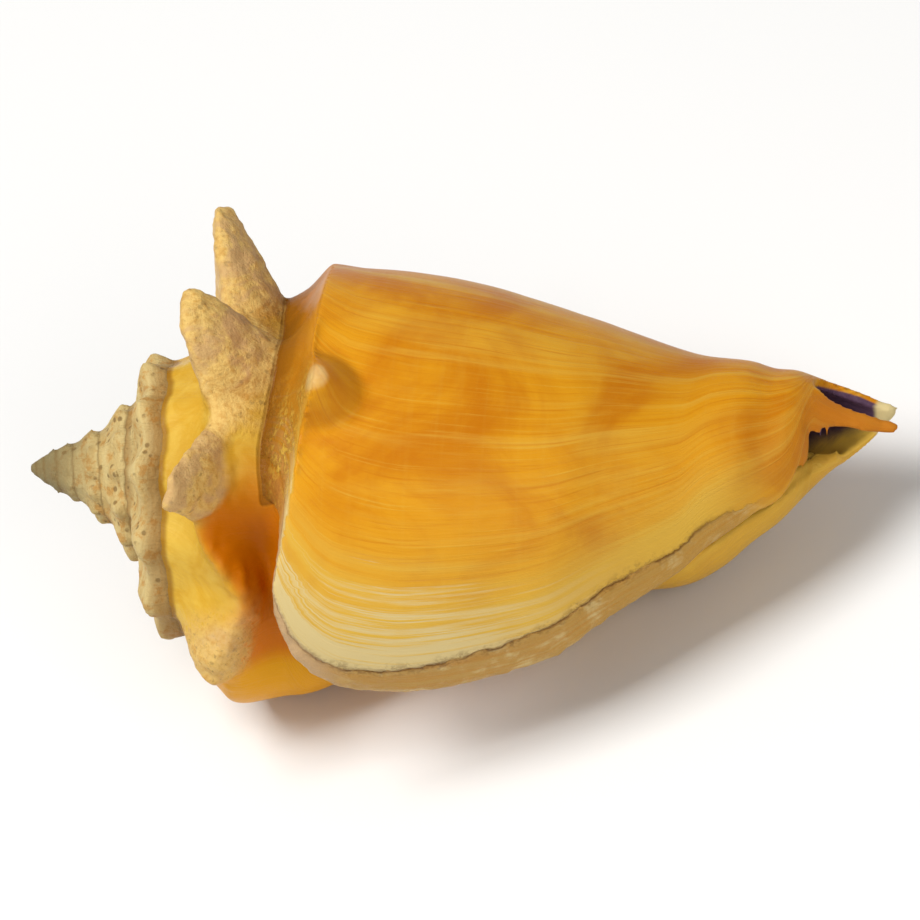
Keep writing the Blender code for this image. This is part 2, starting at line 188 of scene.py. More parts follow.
# Forms of the last whorl, as shares of its radius, with the growth angles and heights where each fades in
NARROWING_HEIGHTS = (50, 72)
NARROWING_FROM = 60
LIP_FLARE = 0.12
LIP_FLARE_TURN = (300, 400)
INNER_LIP_CURL = 0.17
INNER_LIP_TURN = (95, 45)
LIP_HEIGHTS = (50, 66)
MOUTH_DEPTH = 0.26
MOUTH_TURN = (128, 85)
MOUTH_TOP = (28, 42)
MOUTH_FOOT = (68, 54)
MOUTH_FADE = (-60, 0)

CORE_START = -2880
CORE_END = 150
AXIS_RADIUS = 0.2
CLOSING_ROWS = 3

# Growth angles between which the wall is first guessed to run, and passes that move it to its edges
WALL_GUESS = (60, 400)
WALL_PASSES = 3

# Pillar inside the shell: height, distance from the axis, radius
PILLAR = (
    (12.0, 0.0, 3.0), (40.0, 0.0, 5.0), (56.0, 0.5, 5.0), (68.0, 3.2, 4.2), (76.0, 3.6, 2.5),
    (79.0, 3.6, 1.2),
)
PILLAR_SIDE = 130

RAMP_ROWS = 14
BODY_ROWS = 40
CORE_STEP = 2
WALL_COLUMNS = 300
WALL_ROWS = 480
RAMP_SHARE = 0.22
BODY_SPACING = 1.2
PILLAR_SEGMENTS = 32
PILLAR_CUTS = 48

# Rest: growth angle that faces the ground, tilt of the canal end towards it, and depth of the worn spots
BELLY_ANGLE = 136.5
REST_PITCH = 14.25
WORN_DEPTH = 0.4

# Radius at which the growth lines are spaced in millimetres
EVEN_RADIUS = 20.0

# Turns of the coil that a point may lie on, and the first of them whose spines lean much
TURNS = range(-8, 3)
FIRST_LEANING_TURN = -1

# How far past the lip's edge a point still belongs to the lip, the same past the inner lip in degrees, how much
# worse the wall's inner face counts than its outer one, and how badly a point beyond the apex fits
EDGE_SLACK = 0.8
INNER_EDGE_SLACK = 6
INNER_HANDICAP = 0.3
FAR_OFF = 50.0

# Steps in which a point's height before leaning is searched for
LEAN_SEARCH = (tuple(range(-3, 6)), (-0.5, 0.5), (-0.25, 0.25), (-0.12, 0.12), (-0.06, 0.06))

# Wear: roughness of the old whorls, spines, rim and spire, then fineness and height of lumps and pits
OLD_WHORL_WEAR = 0.25
SPINE_WEAR = 0.9
RIM_WEAR = 0.7
SPIRE_WEAR = 0.6
LUMPS = (0.55, 0.26)
PITS = (0.4, 0.3)

# Zones of the finish, each from where it starts to fade in to where it is full: turns of the coil, then heights
LAST_WHORL_TURNS = (0.45, 0.52)
# Turns where painted shade darkens the sutures of the large whorls
SUTURE_SHADE_TURNS = (0.45, 0.55)
LAST_SPINE_TURNS = (0.85, 0.9)
SMALL_SPINE_TURNS = (0.05, 0.02)
WIDE_SPINE_TURNS = (-0.03, -0.07)
# Turns of the hollow's orange glaze with its painted shade
SHADED_HOLLOW_TURNS = (-0.05, 0.05)
SPIRE_TURNS = (-0.6, -0.75)
# Turns where painted shade darkens the sutures at the foot of the spire
SPIRE_SUTURE_SHADE_TURNS = (-1.5, -1.1)
TONGUE_TURNS = (0.84, 0.9)
CANAL_TURNS = (0.42, 0.52)
BROKEN_TIP_TURNS = (0.76, 0.72)
PALE_HEIGHTS = (79.0, 68.0)
CREAM_HEIGHTS = (72.0, 50.0)
RIM_HEIGHTS = (77.0, 72.0)
CRACK_HEIGHTS = (75.0, 66.0)
SOOT_HEIGHTS = (74.0, 60.0)
MARGIN_HEIGHTS = (36.0, 31.5)
TONGUE_HEIGHTS = (77.5, 80.5)
OLD_BODY_HEIGHTS = (44.0, 52.0)
OLD_WHORL_HEIGHTS = (44.0, 36.0)
APEX_HEIGHTS = (9.0, 2.0)
CANAL_HEIGHTS = (70.0, 77.0)
BROKEN_TIP_HEIGHTS = (85.0, 85.6)

# Stage: floor and sky, then each lamp's name, place, size and power
FLOOR_HALF_WIDTH = 2.0
FLOOR_COLOUR = (0.78, 0.77, 0.75)
SKY_COLOUR = (0.95, 0.97, 1.0)
SKY_STRENGTH = 0.3
LAMPS = (
    ("key", (-0.26, -0.14, 0.72), 0.4, 6.4), ("fill", (0.5, -0.5, 0.4), 0.5, 2.4),
)

# Photograph: frame width in pixels, pixels to a millimetre, place of the apex, and how the axis lies in it
FRAME_PX = 920
PX_PER_MM = 10.0
APEX_PX = (28.0, 468.0)
AXIS_TURN = 8.0
AXIS_SLOPE = 2.5
LENS = 600.0
SENSOR = 36.0
CLIP = (0.01, 10.0)


class Curve:
    """Smooth curve through a few (position, value) points, flat beyond its ends."""

    def __init__(self, points, samples=2000):
        x, y = np.array(points, float).T
        slope = np.diff(y) / np.diff(x)
        tangent = np.zeros_like(y)
        inner = slope[1:] * slope[:-1] > 0
        tangent[1:-1][inner] = 2 * (slope[1:] * slope[:-1])[inner] / (slope[1:] + slope[:-1])[inner]
        tangent[0], tangent[-1] = slope[0], slope[-1]
        self.x = np.linspace(x[0], x[-1], samples)
        i = np.clip(np.searchsorted(x, self.x) - 1, 0, len(x) - 2)
        span = x[i + 1] - x[i]
        t = (self.x - x[i]) / span
        self.y = (
            (1 + 2 * t) * (1 - t) ** 2 * y[i]
            + t * (1 - t) ** 2 * span * tangent[i]
            + t**2 * (3 - 2 * t) * y[i + 1]
            + t**2 * (t - 1) * span * tangent[i + 1]
        )

    def __call__(self, x):
        return np.interp(x, self.x, self.y)


suture_height, shoulder_height, shoulder_radius = (
    Curve([(row[0], row[column]) for row in WHORLS]) for column in (1, 2, 3)
)
body_outline = Curve(BODY)
bend = Curve(BEND)
keel_rise = Curve([(growth, rise) for growth, rise, _ in KEEL])
keel_lean = Curve([(growth, lean) for growth, _, lean in KEEL])
sinus_edge = Curve(SINUS_EDGE)
lip_edge = Curve(LIP_EDGE)
inner_edge = Curve(INNER_EDGE)
front_edge = Curve(FRONT_EDGE)
wall_thickness = Curve(WALL)
rim_width = Curve(RIM_WIDTH)


def smooth_step(low, high, x):
    """0 below low and 1 above high, with an even rise between them."""
    t = np.clip((x - low) / (high - low), 0, 1)
    return t * t * (3 - 2 * t)


def to_space(height, radius, growth):
    """Points of the bent shell frame, as rows of x, y, z in millimetres."""
    turn = np.radians(growth)
    return np.stack([height, bend(height) - radius * np.sin(turn), radius * np.cos(turn)], axis=-1)


def cone(across, along):
    """Height of a blunt cone of foot radius 1, as a share of its full height."""
    climb = np.clip((1 - np.hypot(across, along)) / (1 - SPINE_TIP), 0, 1)
    rounded = (1 - np.hypot(1 - climb, SPINE_ROUND)) / (1 - SPINE_ROUND)
    return np.clip(rounded, 0, 1) ** SPINE_TAPER


def either_side(value, below, above):
    """Value as a share of its limit, which differs below and above zero."""
    return value / np.where(value > 0, above, below)


def spine_rise(growth, height):
    """Rise of the spines, their keel and the knobs above the whorl, and their lean towards the apex."""
    knob = KNOB_STEP * np.rint(growth / KNOB_STEP)
    size = shoulder_radius(knob) * (knob <= LAST_KNOB)
    along = (height - shoulder_height(knob)) / (KNOB_LENGTH * size + 1e-6)
    bump = cone((growth - knob) / KNOB_HALF_TURN, along)
    keel = cone(0, either_side(height - shoulder_height(growth), *KEEL_REACH))
    keel = keel * (growth > KEEL[0][0]) * (growth < KEEL[-1][0])
    rise = np.hypot(keel_rise(growth) * keel, KNOB_HEIGHT * size * bump)
    lean = keel_lean(growth) * keel + KNOB_LEAN * size * bump
    for angle, tall, before, after, ramp_reach, body_reach, tilt in SPINES:
        past = height - shoulder_height(angle)
        shape = cone(either_side(growth - angle, before, after), either_side(past, ramp_reach, body_reach))
        rise = np.hypot(rise, tall * shape)
        lean = lean + tilt * shape
    return rise, lean


def callus_rise(growth, height):
    """Rise of the callus pad, steep towards the apex and fading towards the canal."""
    middle, half_turn, tall = CALLUS
    start, full, fade, end = CALLUS_HEIGHTS
    away = np.clip(np.abs(growth - middle) / half_turn, 0, 1) ** CALLUS_BLUNTNESS
    around = 0.5 + 0.5 * np.cos(math.pi * away)
    return tall * around * smooth_step(start, full, height) * smooth_step(end, fade, height)


def dip(growth, height):
    """Depth of the hollow behind the third spine."""
    angle, middle, half_turn, half_length, depth = DIP
    reach = np.clip(np.hypot((growth - angle) / half_turn, (height - middle) / half_length), 0, 1)
    return depth * (0.5 + 0.5 * np.cos(math.pi * reach))


def ramp_power(growth):
    """How hollow the ramp is: straight on the spire, concave on the large whorls."""
    return 1 + RAMP_HOLLOW * smooth_step(STRAIGHT_UNTIL, CONCAVE_FROM, growth)


def girth(growth, height, whole_height):
    """Radius of a plain whorl below its shoulder, had it grown to whole_height."""
    shoulder = shoulder_height(growth)
    reference = BODY[0][0] + BODY_LENGTH * np.clip((height - shoulder) / (whole_height - shoulder), 0, 1)
    radius = shoulder_radius(growth) * body_outline(reference) / BODY[0][1]
    narrowing = smooth_step(*NARROWING_HEIGHTS, height) * (growth > NARROWING_FROM)
    radius = radius + (body_outline(reference) - radius) * narrowing
    radius = radius - NOTCH[2] * smooth_step(*NOTCH[:2], height) * smooth_step(*NOTCH_TURN, growth)
    flare = LIP_FLARE * smooth_step(*LIP_FLARE_TURN, growth) * smooth_step(*LIP_HEIGHTS, height)
    curl = INNER_LIP_CURL * smooth_step(*INNER_LIP_TURN, growth) * smooth_step(*LIP_HEIGHTS, height)
    mouth = MOUTH_DEPTH * smooth_step(*MOUTH_TURN, growth)
    mouth = mouth * smooth_step(*MOUTH_TOP, height) * smooth_step(*MOUTH_FOOT, height)
    return radius * (1 + flare - (curl + mouth) * smooth_step(*MOUTH_FADE, growth))


def natural_end(growth):
    """Height that a whorl of this size would reach by itself."""
    return shoulder_height(growth) + BODY_LENGTH * shoulder_radius(growth) / BODY[0][1]


def seat_radius(growth):
    """Radius at which a whorl sits on the one before it, climbing over that whorl's spines."""
    before = growth - 360
    height = suture_height(growth)
    return girth(before, height, natural_end(before)) + SEAT_CLIMB * spine_rise(before, height)[0]


def ramp_radius(growth, ramp):
    """Radius on the ramp at a share of the way from suture to shoulder."""
    seat = seat_radius(growth)
    return seat + (shoulder_radius(growth) - seat) * ramp ** ramp_power(growth)


def whorl(growth, row, whole_height, end_height, spines=True):
    """Surface of a whorl that would reach whole_height and is cut off at end_height.

    A row of 0 to 1 crosses the ramp from suture to shoulder, and 1 to 2 the body below it.
    """
    suture = suture_height(growth)
    shoulder = shoulder_height(growth)
    ramp = np.clip(row, 0, 1)
    fall = np.clip(row - 1, 0, 1) ** BODY_SPACING
    height = np.where(row < 1, suture + (shoulder - suture) * ramp, shoulder + (end_height - shoulder) * fall)
    radius = np.where(row < 1, ramp_radius(growth, ramp), girth(growth, height, whole_height))
    if spines:
        rise, lean = spine_rise(growth, height)
        radius = radius + rise + callus_rise(growth, height) - dip(growth, height)
        height = height - lean
    return height, radius


def grid_mesh(columns, rows):
    """Flat grid whose corners lie at 0 and 1, with the columns along x and the rows along y."""
    bm = bmesh.new()
    bmesh.ops.create_grid(bm, x_segments=columns, y_segments=rows, size=0.5)
    bmesh.ops.translate(bm, verts=bm.verts, vec=(0.5, 0.5, 0))
    return bm


def place(verts, points):
    """Moves each vertex to its point, given in millimetres."""
    for vert, point in zip(verts, points * MM):
        vert.co = point


def core():
    """Solid early whorls, up to where the shell turns hollow."""
    rows = RAMP_ROWS + BODY_ROWS + CLOSING_ROWS + 1
    bm = grid_mesh((CORE_END - CORE_START) // CORE_STEP, rows)
    uv = np.array([vert.co[:2] for vert in bm.verts])
    growth = CORE_START + (CORE_END - CORE_START) * uv[:, 0]
    end_height = natural_end(growth)
    step = np.rint(uv[:, 1] * rows)
    row = np.clip((step - 1) / RAMP_ROWS, 0, 1) + np.clip((step - 1 - RAMP_ROWS) / BODY_ROWS, 0, 1)
    height, radius = whorl(growth, row, end_height, end_height)
    radius = np.where(step < 0.5, AXIS_RADIUS, radius)
    closing = np.clip(step - 1 - RAMP_ROWS - BODY_ROWS, 0, CLOSING_ROWS)
    radius = np.where(closing > 0, AXIS_RADIUS, radius)
    back = (closing - 1) / (CLOSING_ROWS - 1)
    height = np.where(closing > 0, end_height + (suture_height(growth) - end_height) * back, height)
    place(bm.verts, to_space(height, radius, growth))
    bmesh.ops.remove_doubles(bm, verts=bm.verts, dist=1e-7)
    bmesh.ops.holes_fill(bm, edges=[edge for edge in bm.edges if edge.is_boundary], sides=0)
    return bm


def lip_at(row, height):
    """Growth angle of the lip's edge."""
    return np.where(row < 1, sinus_edge(row), lip_edge(height))


def wall_surface(u, v, inside):
    """Outer or inner face of the last whorl's wall, where u runs with the growth and v from suture to canal."""
    row = np.where(v < RAMP_SHARE, v / RAMP_SHARE, 1 + (v - RAMP_SHARE) / (1 - RAMP_SHARE))
    growth = WALL_GUESS[0] + (WALL_GUESS[1] - WALL_GUESS[0]) * u
    for _ in range(WALL_PASSES):
        height, _ = whorl(growth, row, LENGTH, front_edge(growth), spines=False)
        growth = inner_edge(height) + (lip_at(row, height) - inner_edge(height)) * u
    height, radius = whorl(growth, row, LENGTH, front_edge(growth), spines=not inside)
    before_edge = lip_at(row, height) - growth
    if inside:
        swelling = LIP_SWELLING * smooth_step(LIP_SWELLING_ANGLE, 0, before_edge)
        thickness = wall_thickness(height) + swelling * smooth_step(*LIP_SWELLING_HEIGHTS, height)
        slope = np.where(row < 1, RAMP_SLOPE, BODY_SLOPE)
        radius = np.maximum(radius - thickness * np.sqrt(1 - slope**2), LEAST_RADIUS)
        height = height + thickness * np.where(row < 1, slope, BODY_SHIFT)
    else:
        roll = np.clip(1 - before_edge / LIP_ROLL_ANGLE, 0, 1) * smooth_step(*LIP_ROLL_HEIGHTS, height)
        radius = radius - LIP_ROLL * (1 - np.sqrt(1 - roll**2)) * np.where(row < 1, RAMP_ROLL, 1)
        past_rim = np.radians(before_edge) * radius - rim_width(height)
        step_down = RIM_STEP * smooth_step(RIM_STEP_HALF_WIDTH, -RIM_STEP_HALF_WIDTH, past_rim)
        radius = radius - step_down * smooth_step(*RIM_STEP_HEIGHTS, height) * (row > 1)
    return to_space(height, radius, growth)


def wall():
    """Hollow last whorl with its lip, notches and front canal."""
    bm = grid_mesh(WALL_COLUMNS, WALL_ROWS)
    u_layer = bm.verts.layers.float.new("u")
    v_layer = bm.verts.layers.float.new("v")
    for vert in bm.verts:
        vert[u_layer], vert[v_layer] = vert.co.x, vert.co.y
    outer = list(bm.verts)
    grown = bmesh.ops.extrude_face_region(bm, geom=bm.faces[:], use_keep_orig=True)["geom"]
    inner = [item for item in grown if isinstance(item, bmesh.types.BMVert)]
    for verts, inside in ((outer, False), (inner, True)):
        u = np.array([vert[u_layer] for vert in verts])
        v = np.array([vert[v_layer] for vert in verts])
        place(verts, wall_surface(u, v, inside))
    bmesh.ops.recalc_face_normals(bm, faces=bm.faces)
    return bm


def pillar():
    """Columella about which the whorls coil."""
    bm = bmesh.new()
    bmesh.ops.create_cone(bm, cap_ends=True, segments=PILLAR_SEGMENTS, radius1=1, radius2=1, depth=1)
    lengthwise = [edge for edge in bm.edges if abs(edge.verts[0].co.z - edge.verts[1].co.z) > 0.5]
    bmesh.ops.subdivide_edges(bm, edges=lengthwise, cuts=PILLAR_CUTS)
    centre_offset = Curve([(h, off) for h, off, _ in PILLAR])
    pillar_radius = Curve([(h, r) for h, _, r in PILLAR])
    side = math.radians(PILLAR_SIDE)
    for vert in bm.verts:
        height = PILLAR[0][0] + (PILLAR[-1][0] - PILLAR[0][0]) * (vert.co.z + 0.5)
        radius = float(pillar_radius(height))
        away = float(centre_offset(height))
        y = float(bend(height)) + radius * vert.co.x - away * math.sin(side)
        z = radius * vert.co.y + away * math.cos(side)
        vert.co = Vector((height, y, z)) * MM
    bmesh.ops.recalc_face_normals(bm, faces=bm.faces)
    return bm


def joined(parts):
    """One mesh holding every part of a list of bmeshes."""
    mesh = bpy.data.meshes.new("grown_parts")
    whole = bmesh.new()
    for part in parts:
        part.to_mesh(mesh)
        part.free()
        whole.from_mesh(mesh)
    whole.to_mesh(mesh)
    whole.free()
    return mesh


def finished(mesh, modifiers):
    """The mesh after a row of modifiers, each given as its type and its settings."""
    holder = bpy.data.objects.new("finishing", mesh)
    bpy.context.scene.collection.objects.link(holder)
    for kind, settings in modifiers:
        modifier = holder.modifiers.new(kind.lower(), kind)
        for name, value in settings.items():
            setattr(modifier, name, value)
    bpy.context.view_layer.update()
    skin = bpy.data.meshes.new_from_object(holder.evaluated_get(bpy.context.evaluated_depsgraph_get()))
    bpy.data.objects.remove(holder)
    bpy.data.meshes.remove(mesh)
    return skin


def resting_turn():
    """Rotation from the shell frame to the resting one, with the belly down and the canal end lowered."""
    lay = Matrix.Rotation(math.radians(180 - BELLY_ANGLE), 4, "X")
    pitch = Matrix.Rotation(math.radians(REST_PITCH), 4, "Y")
    return pitch @ lay


def get_vectors(items, name, width=3):
    """The vectors that a mesh's vertices, corners or faces hold under a name, as rows."""
    flat = np.zeros(len(items) * width, np.float32)
    items.foreach_get(name, flat)
    return flat.reshape(-1, width).astype(float)


def corner_vertices(mesh):
    """Number of the vertex at each face corner."""
    corners = np.zeros(len(mesh.loops), np.int32)
    mesh.loops.foreach_get("vertex_index", corners)
    return corners


def polar(point):
    """Growth angle within one turn and radius of points of the bent shell frame."""
    y = point[:, 1] - bend(point[:, 0])
    return np.degrees(np.arctan2(-y, point[:, 2])), np.hypot(y, point[:, 2])


def outer_radius(growth, upright):
    """Radius of a whorl's outer face at a height before leaning, share of the ramp crossed, and lean."""
    shoulder = shoulder_height(growth)
    suture = suture_height(growth)
    ramp = np.clip((upright - suture) / (shoulder - suture), 0, 1)
    whole_height = np.where(growth > 0, LENGTH, natural_end(growth))
    rise, lean = spine_rise(growth, upright)
    plain = np.where(upright < shoulder, ramp_radius(growth, ramp), girth(growth, upright, whole_height))
    return plain + rise + callus_rise(growth, upright) - dip(growth, upright), ramp, lean


def before_leaning(growth, height, distance):
    """Height that each point had before the spines leaned, from the nearest place on the whorl's outline."""
    best = height.copy()
    least = np.full(len(height), 1e9)
    for offsets in LEAN_SEARCH:
        start = best.copy()
        for offset in offsets:
            upright = start + offset
            surface, _, lean = outer_radius(growth, upright)
            miss = np.hypot(upright - lean - height, surface - distance)
            closer = miss < least
            least[closer] = miss[closer]
            best[closer] = upright[closer]
    return best


def fit_to_turn(height, angle, distance, turn):
    """How far points lie from one turn of the coil, their height on it before leaning, and their depth."""
    growth = angle + 360 * turn
    upright = before_leaning(growth, height, distance) if turn >= FIRST_LEANING_TURN else height
    surface, ramp, _ = outer_radius(growth, upright)
    edge = lip_at(np.where(upright < shoulder_height(growth), ramp, 1.5), upright)
    end = np.where(growth < inner_edge(upright) - INNER_EDGE_SLACK, natural_end(growth), LENGTH + 2)
    beyond = np.maximum(suture_height(growth) - upright, 0) + np.maximum(upright - end, 0)
    beyond = beyond + np.maximum(np.radians(growth - edge) * distance - EDGE_SLACK, 0)
    beyond = beyond + FAR_OFF * (growth < CORE_START)
    miss = np.abs(surface - distance)
    if turn >= 0:
        inner = np.abs(surface - distance - wall_thickness(upright)) + INNER_HANDICAP
        miss = np.where(growth > INNER_EDGE[0][1], np.minimum(miss, inner), miss)
    return np.hypot(miss, beyond), upright, surface - distance


def add_flow(mesh):
    """Writes on each face corner where it lies on the later and the earlier of its two nearest turns."""
    corners = corner_vertices(mesh)
    counts = np.zeros(len(mesh.polygons), np.int32)
    mesh.polygons.foreach_get("loop_total", counts)
    starts = np.cumsum(counts) - counts
    face_of = np.repeat(np.arange(len(counts)), counts)
    point = get_vectors(mesh.vertices, "co") / MM
    angle, distance = polar(point)
    fits = [fit_to_turn(point[:, 0], angle, distance, turn) for turn in TURNS]
    miss, upright, depth = (np.stack(rows) for rows in zip(*fits))
    angle, distance = angle[corners], distance[corners]
    wrap = np.rint((angle[starts][face_of] - angle) / 360).astype(int)
    last = len(TURNS) - 1
    face_miss = [
        np.add.reduceat(miss[np.clip(turn + wrap, 0, last), corners], starts) for turn in range(last + 1)
    ]
    nearest = np.argsort(np.stack(face_miss) / counts, axis=0)[:2]
    picks = {
        name: (np.clip(turn[face_of] + wrap, 0, last), corners)
        for name, turn in (("late", nearest.max(axis=0)), ("early", nearest.min(axis=0)))
    }
    side = miss[picks["late"]] - miss[picks["early"]]
    for name, pick in picks.items():
        growth = angle + 360 * (pick[0] + TURNS[0])
        height = upright[pick]
        suture, shoulder = suture_height(growth), shoulder_height(growth)
        row = np.where(height < shoulder, np.clip((height - suture) / (shoulder - suture), 0, 1), 1.5)
        before = np.radians(lip_at(row, height) - growth)
        rise, _ = spine_rise(growth, height)
        under = depth[pick] / wall_thickness(height) * (growth > INNER_EDGE[0][1])
        for kind, values in (
            ("flow", (before * EVEN_RADIUS, height, growth / 360)),
            ("form", (rise, under, before * distance - rim_width(height))),
            ("site", (callus_rise(growth, height), height - shoulder, side)),
        ):
            layer = mesh.attributes.new(f"{name}_{kind}", "FLOAT_VECTOR", "CORNER")
            layer.data.foreach_set("vector", np.stack(values, -1).astype(np.float32).ravel())


def weather(mesh):
    """Pits and crusts the spire, the spines and the rim of the lip; the body whorl stays smooth."""
    late, early = (
        [get_vectors(mesh.attributes[f"{name}_{kind}"].data, "vector") for kind in ("flow", "form", "site")]
        for name in ("late", "early")
    )
    is_early = late[2][:, 2:] > 0
    flow, form, site = (np.where(is_early, old, new) for old, new in zip(early, late))
    _, height, turn = flow.T
    rise, under, rim_edge = form.T
    old_whorls = OLD_WHORL_WEAR * smooth_step(0.25, -0.1, turn) * smooth_step(9.0, 4.0, site[:, 1])
    spines = SPINE_WEAR * smooth_step(0.6, 2.0, rise) * (turn < 0.5)
    rim = RIM_WEAR * smooth_step(0.8, 0.0, rim_edge) * smooth_step(70.0, 60.0, height) * (turn > 0.5)
    rough = np.maximum.reduce([old_whorls, spines, rim, SPIRE_WEAR * smooth_step(-0.6, -0.9, turn)])
    share = np.zeros(len(mesh.vertices))
    np.maximum.at(share, corner_vertices(mesh), rough * (under < 0.5))
    point = get_vectors(mesh.vertices, "co") / MM
    normal = get_vectors(mesh.vertices, "normal")
    lumps = np.zeros(len(point))
    for index in np.flatnonzero(share):
        spot = Vector(point[index])
        lump = noise.fractal(spot * LUMPS[0], 1.0, 2.2, 4) * LUMPS[1]
        lumps[index] = lump - abs(noise.noise(spot * PITS[0])) * PITS[1]
    point += normal * (lumps * share)[:, None]
    mesh.vertices.foreach_set("co", (point * MM).astype(np.float32).ravel())
    mesh.update()


class Field:
    """Socket of a shader that takes part in Python expressions."""

    def __init__(self, paint, socket):
        self.paint = paint
        self.socket = socket

    def __add__(self, other):
        return self.paint.maths("ADD", self, other)

    def __radd__(self, other):
        return self.paint.maths("ADD", other, self)

    def __sub__(self, other):
        return self.paint.maths("SUBTRACT", self, other)

    def __rsub__(self, other):
        return self.paint.maths("SUBTRACT", other, self)

    def __mul__(self, other):
        return self.paint.maths("MULTIPLY", self, other)

    def __rmul__(self, other):
        return self.paint.maths("MULTIPLY", other, self)


class Paint:
    """Nodes of one material."""

    def __init__(self, name):
        self.material = bpy.data.materials.new(name)
        self.material.use_nodes = True
        self.tree = self.material.node_tree
        self.shader = self.tree.nodes["Principled BSDF"]

    def set(self, socket, value):
        """Gives a socket a value, or a link from a Field."""
        if isinstance(value, Field):
            self.tree.links.new(value.socket, socket)
        else:
            socket.default_value = value

    def node(self, kind, settings=None, sockets=None):
        """Adds a node, with its settings first and then the values or links of its sockets."""
        node = self.tree.nodes.new(kind)
        for name, value in (settings or {}).items():
            setattr(node, name, value)
        for name, value in (sockets or {}).items():
            self.set(node.inputs[name], value)
        return node

    def maths(self, operation, *values):
        """Result of a Math node."""
        node = self.node("ShaderNodeMath", {"operation": operation}, dict(enumerate(values)))
        return Field(self, node.outputs[0])

    def attribute(self, name):
        """The vector attribute of that name."""
        return Field(self, self.node("ShaderNodeAttribute", {"attribute_name": name}).outputs["Vector"])

    def parts(self, vector):
        """The three numbers of a vector."""
        node = self.node("ShaderNodeSeparateXYZ", {}, {"Vector": vector})
        return [Field(self, output) for output in node.outputs]

    def choose(self, share, first, second):
        """The second vector where share is 1, else the first."""
        node = self.node("ShaderNodeMix", {"data_type": "VECTOR"})
        for socket, value in zip((node.inputs[0], node.inputs[4], node.inputs[5]), (share, first, second)):
            self.set(socket, value)
        return Field(self, node.outputs[1])

    def vector(self, x, y, z=0.0):
        """Three numbers as one vector."""
        node = self.node("ShaderNodeCombineXYZ", {}, {"X": x, "Y": y, "Z": z})
        return Field(self, node.outputs[0])

    def position(self, scale):
        """Place on the object, in units of scale to the metre."""
        place_on = self.node("ShaderNodeTexCoord")
        node = self.node("ShaderNodeMapping", {}, {"Vector": Field(self, place_on.outputs["Object"])})
        node.inputs["Scale"].default_value = (scale, scale, scale)
        return Field(self, node.outputs[0])

    def noise(self, vector, scale=1.0, detail=3.0, roughness=0.5, distortion=0.0):
        """Soft noise between 0 and 1."""
        sockets = {"Vector": vector, "Scale": scale, "Detail": detail}
        sockets.update({"Roughness": roughness, "Distortion": distortion})
        return Field(self, self.node("ShaderNodeTexNoise", {}, sockets).outputs["Fac"])

    def cells(self, vector, scale=1.0):
        """Distance to the middle of the nearest cell."""
        node = self.node("ShaderNodeTexVoronoi", {}, {"Vector": vector, "Scale": scale})
        return Field(self, node.outputs["Distance"])

    def step(self, low, high, value):
        """0 below low and 1 above high, smooth between them; low may be the higher one."""
        if low > high:
            return 1 - self.step(high, low, value)
        node = self.node(
            "ShaderNodeMapRange",
            {"interpolation_type": "SMOOTHSTEP"},
            {"Value": value, "From Min": low, "From Max": high},
        )
        return Field(self, node.outputs["Result"])

    def bump(self, middle, half_width, value):
        """1 at middle, falling to 0 at half_width on either side."""
        return self.step(half_width, 0.0, self.maths("ABSOLUTE", value - middle))

    def mix(self, share, base, other):
        """Base colour, with a share of the other one laid over it."""
        node = self.node("ShaderNodeMix", {"data_type": "RGBA"})
        self.set(node.inputs[0], share)
        for socket, value in ((node.inputs[6], base), (node.inputs[7], other)):
            self.set(socket, value if isinstance(value, Field) else (*value, 1.0))
        return Field(self, node.outputs[2])


class Coat:
    """Colour that is laid on layer by layer."""

    def __init__(self, paint, colour):
        self.paint = paint
        self.colour = colour

    def lay(self, share, colour):
        """Covers a share of what is there."""
        self.colour = self.paint.mix(share, self.colour, colour)


class Place:
    """Where a point of the skin lies along the growth, and the noises that the finish is made from."""

    def __init__(self, paint):
        late = {kind: paint.attribute(f"late_{kind}") for kind in ("flow", "form", "site")}
        is_early = paint.maths("GREATER_THAN", paint.parts(late["site"])[2], 0.0)
        early = {kind: paint.attribute(f"early_{kind}") for kind in late}
        flow, form, site = (paint.choose(is_early, late[kind], early[kind]) for kind in late)
        self.before_lip, self.height, self.turn = paint.parts(flow)
        self.rise, under, self.rim_edge = paint.parts(form)
        self.callus, self.past, side = paint.parts(site)
        self.seam = paint.maths("ABSOLUTE", side)
        self.inside = paint.step(0.4, 0.6, under)
        self.last_whorl = paint.step(*LAST_WHORL_TURNS, self.turn)
        self.spot = paint.position(1 / MM)

        def streaks(across, along, *settings):
            """Noise drawn out along the lip or round the shell, different on each turn."""
            drawn = paint.vector(self.before_lip * across, self.height * along, self.turn)
            return paint.noise(drawn, 1.0, *settings)

        self.growth_lines = streaks(0.45, 0.022, 8.0, 0.6, 0.3)
        self.fine_lines = streaks(2.6, 0.06, 6.0, 0.65, 0.2)
        self.bands = streaks(0.16, 0.04, 4.0, 0.5, 0.6)
        self.threads = streaks(0.05, 1.1, 5.0, 0.6, 0.3)
        self.clouds = paint.noise(self.spot, 0.1, 5.0, 0.55, 0.6)
        self.patches = paint.noise(self.spot, 0.3, 5.0, 0.6, 0.8)
        self.grains = paint.noise(self.spot, 1.6, 6.0, 0.65)


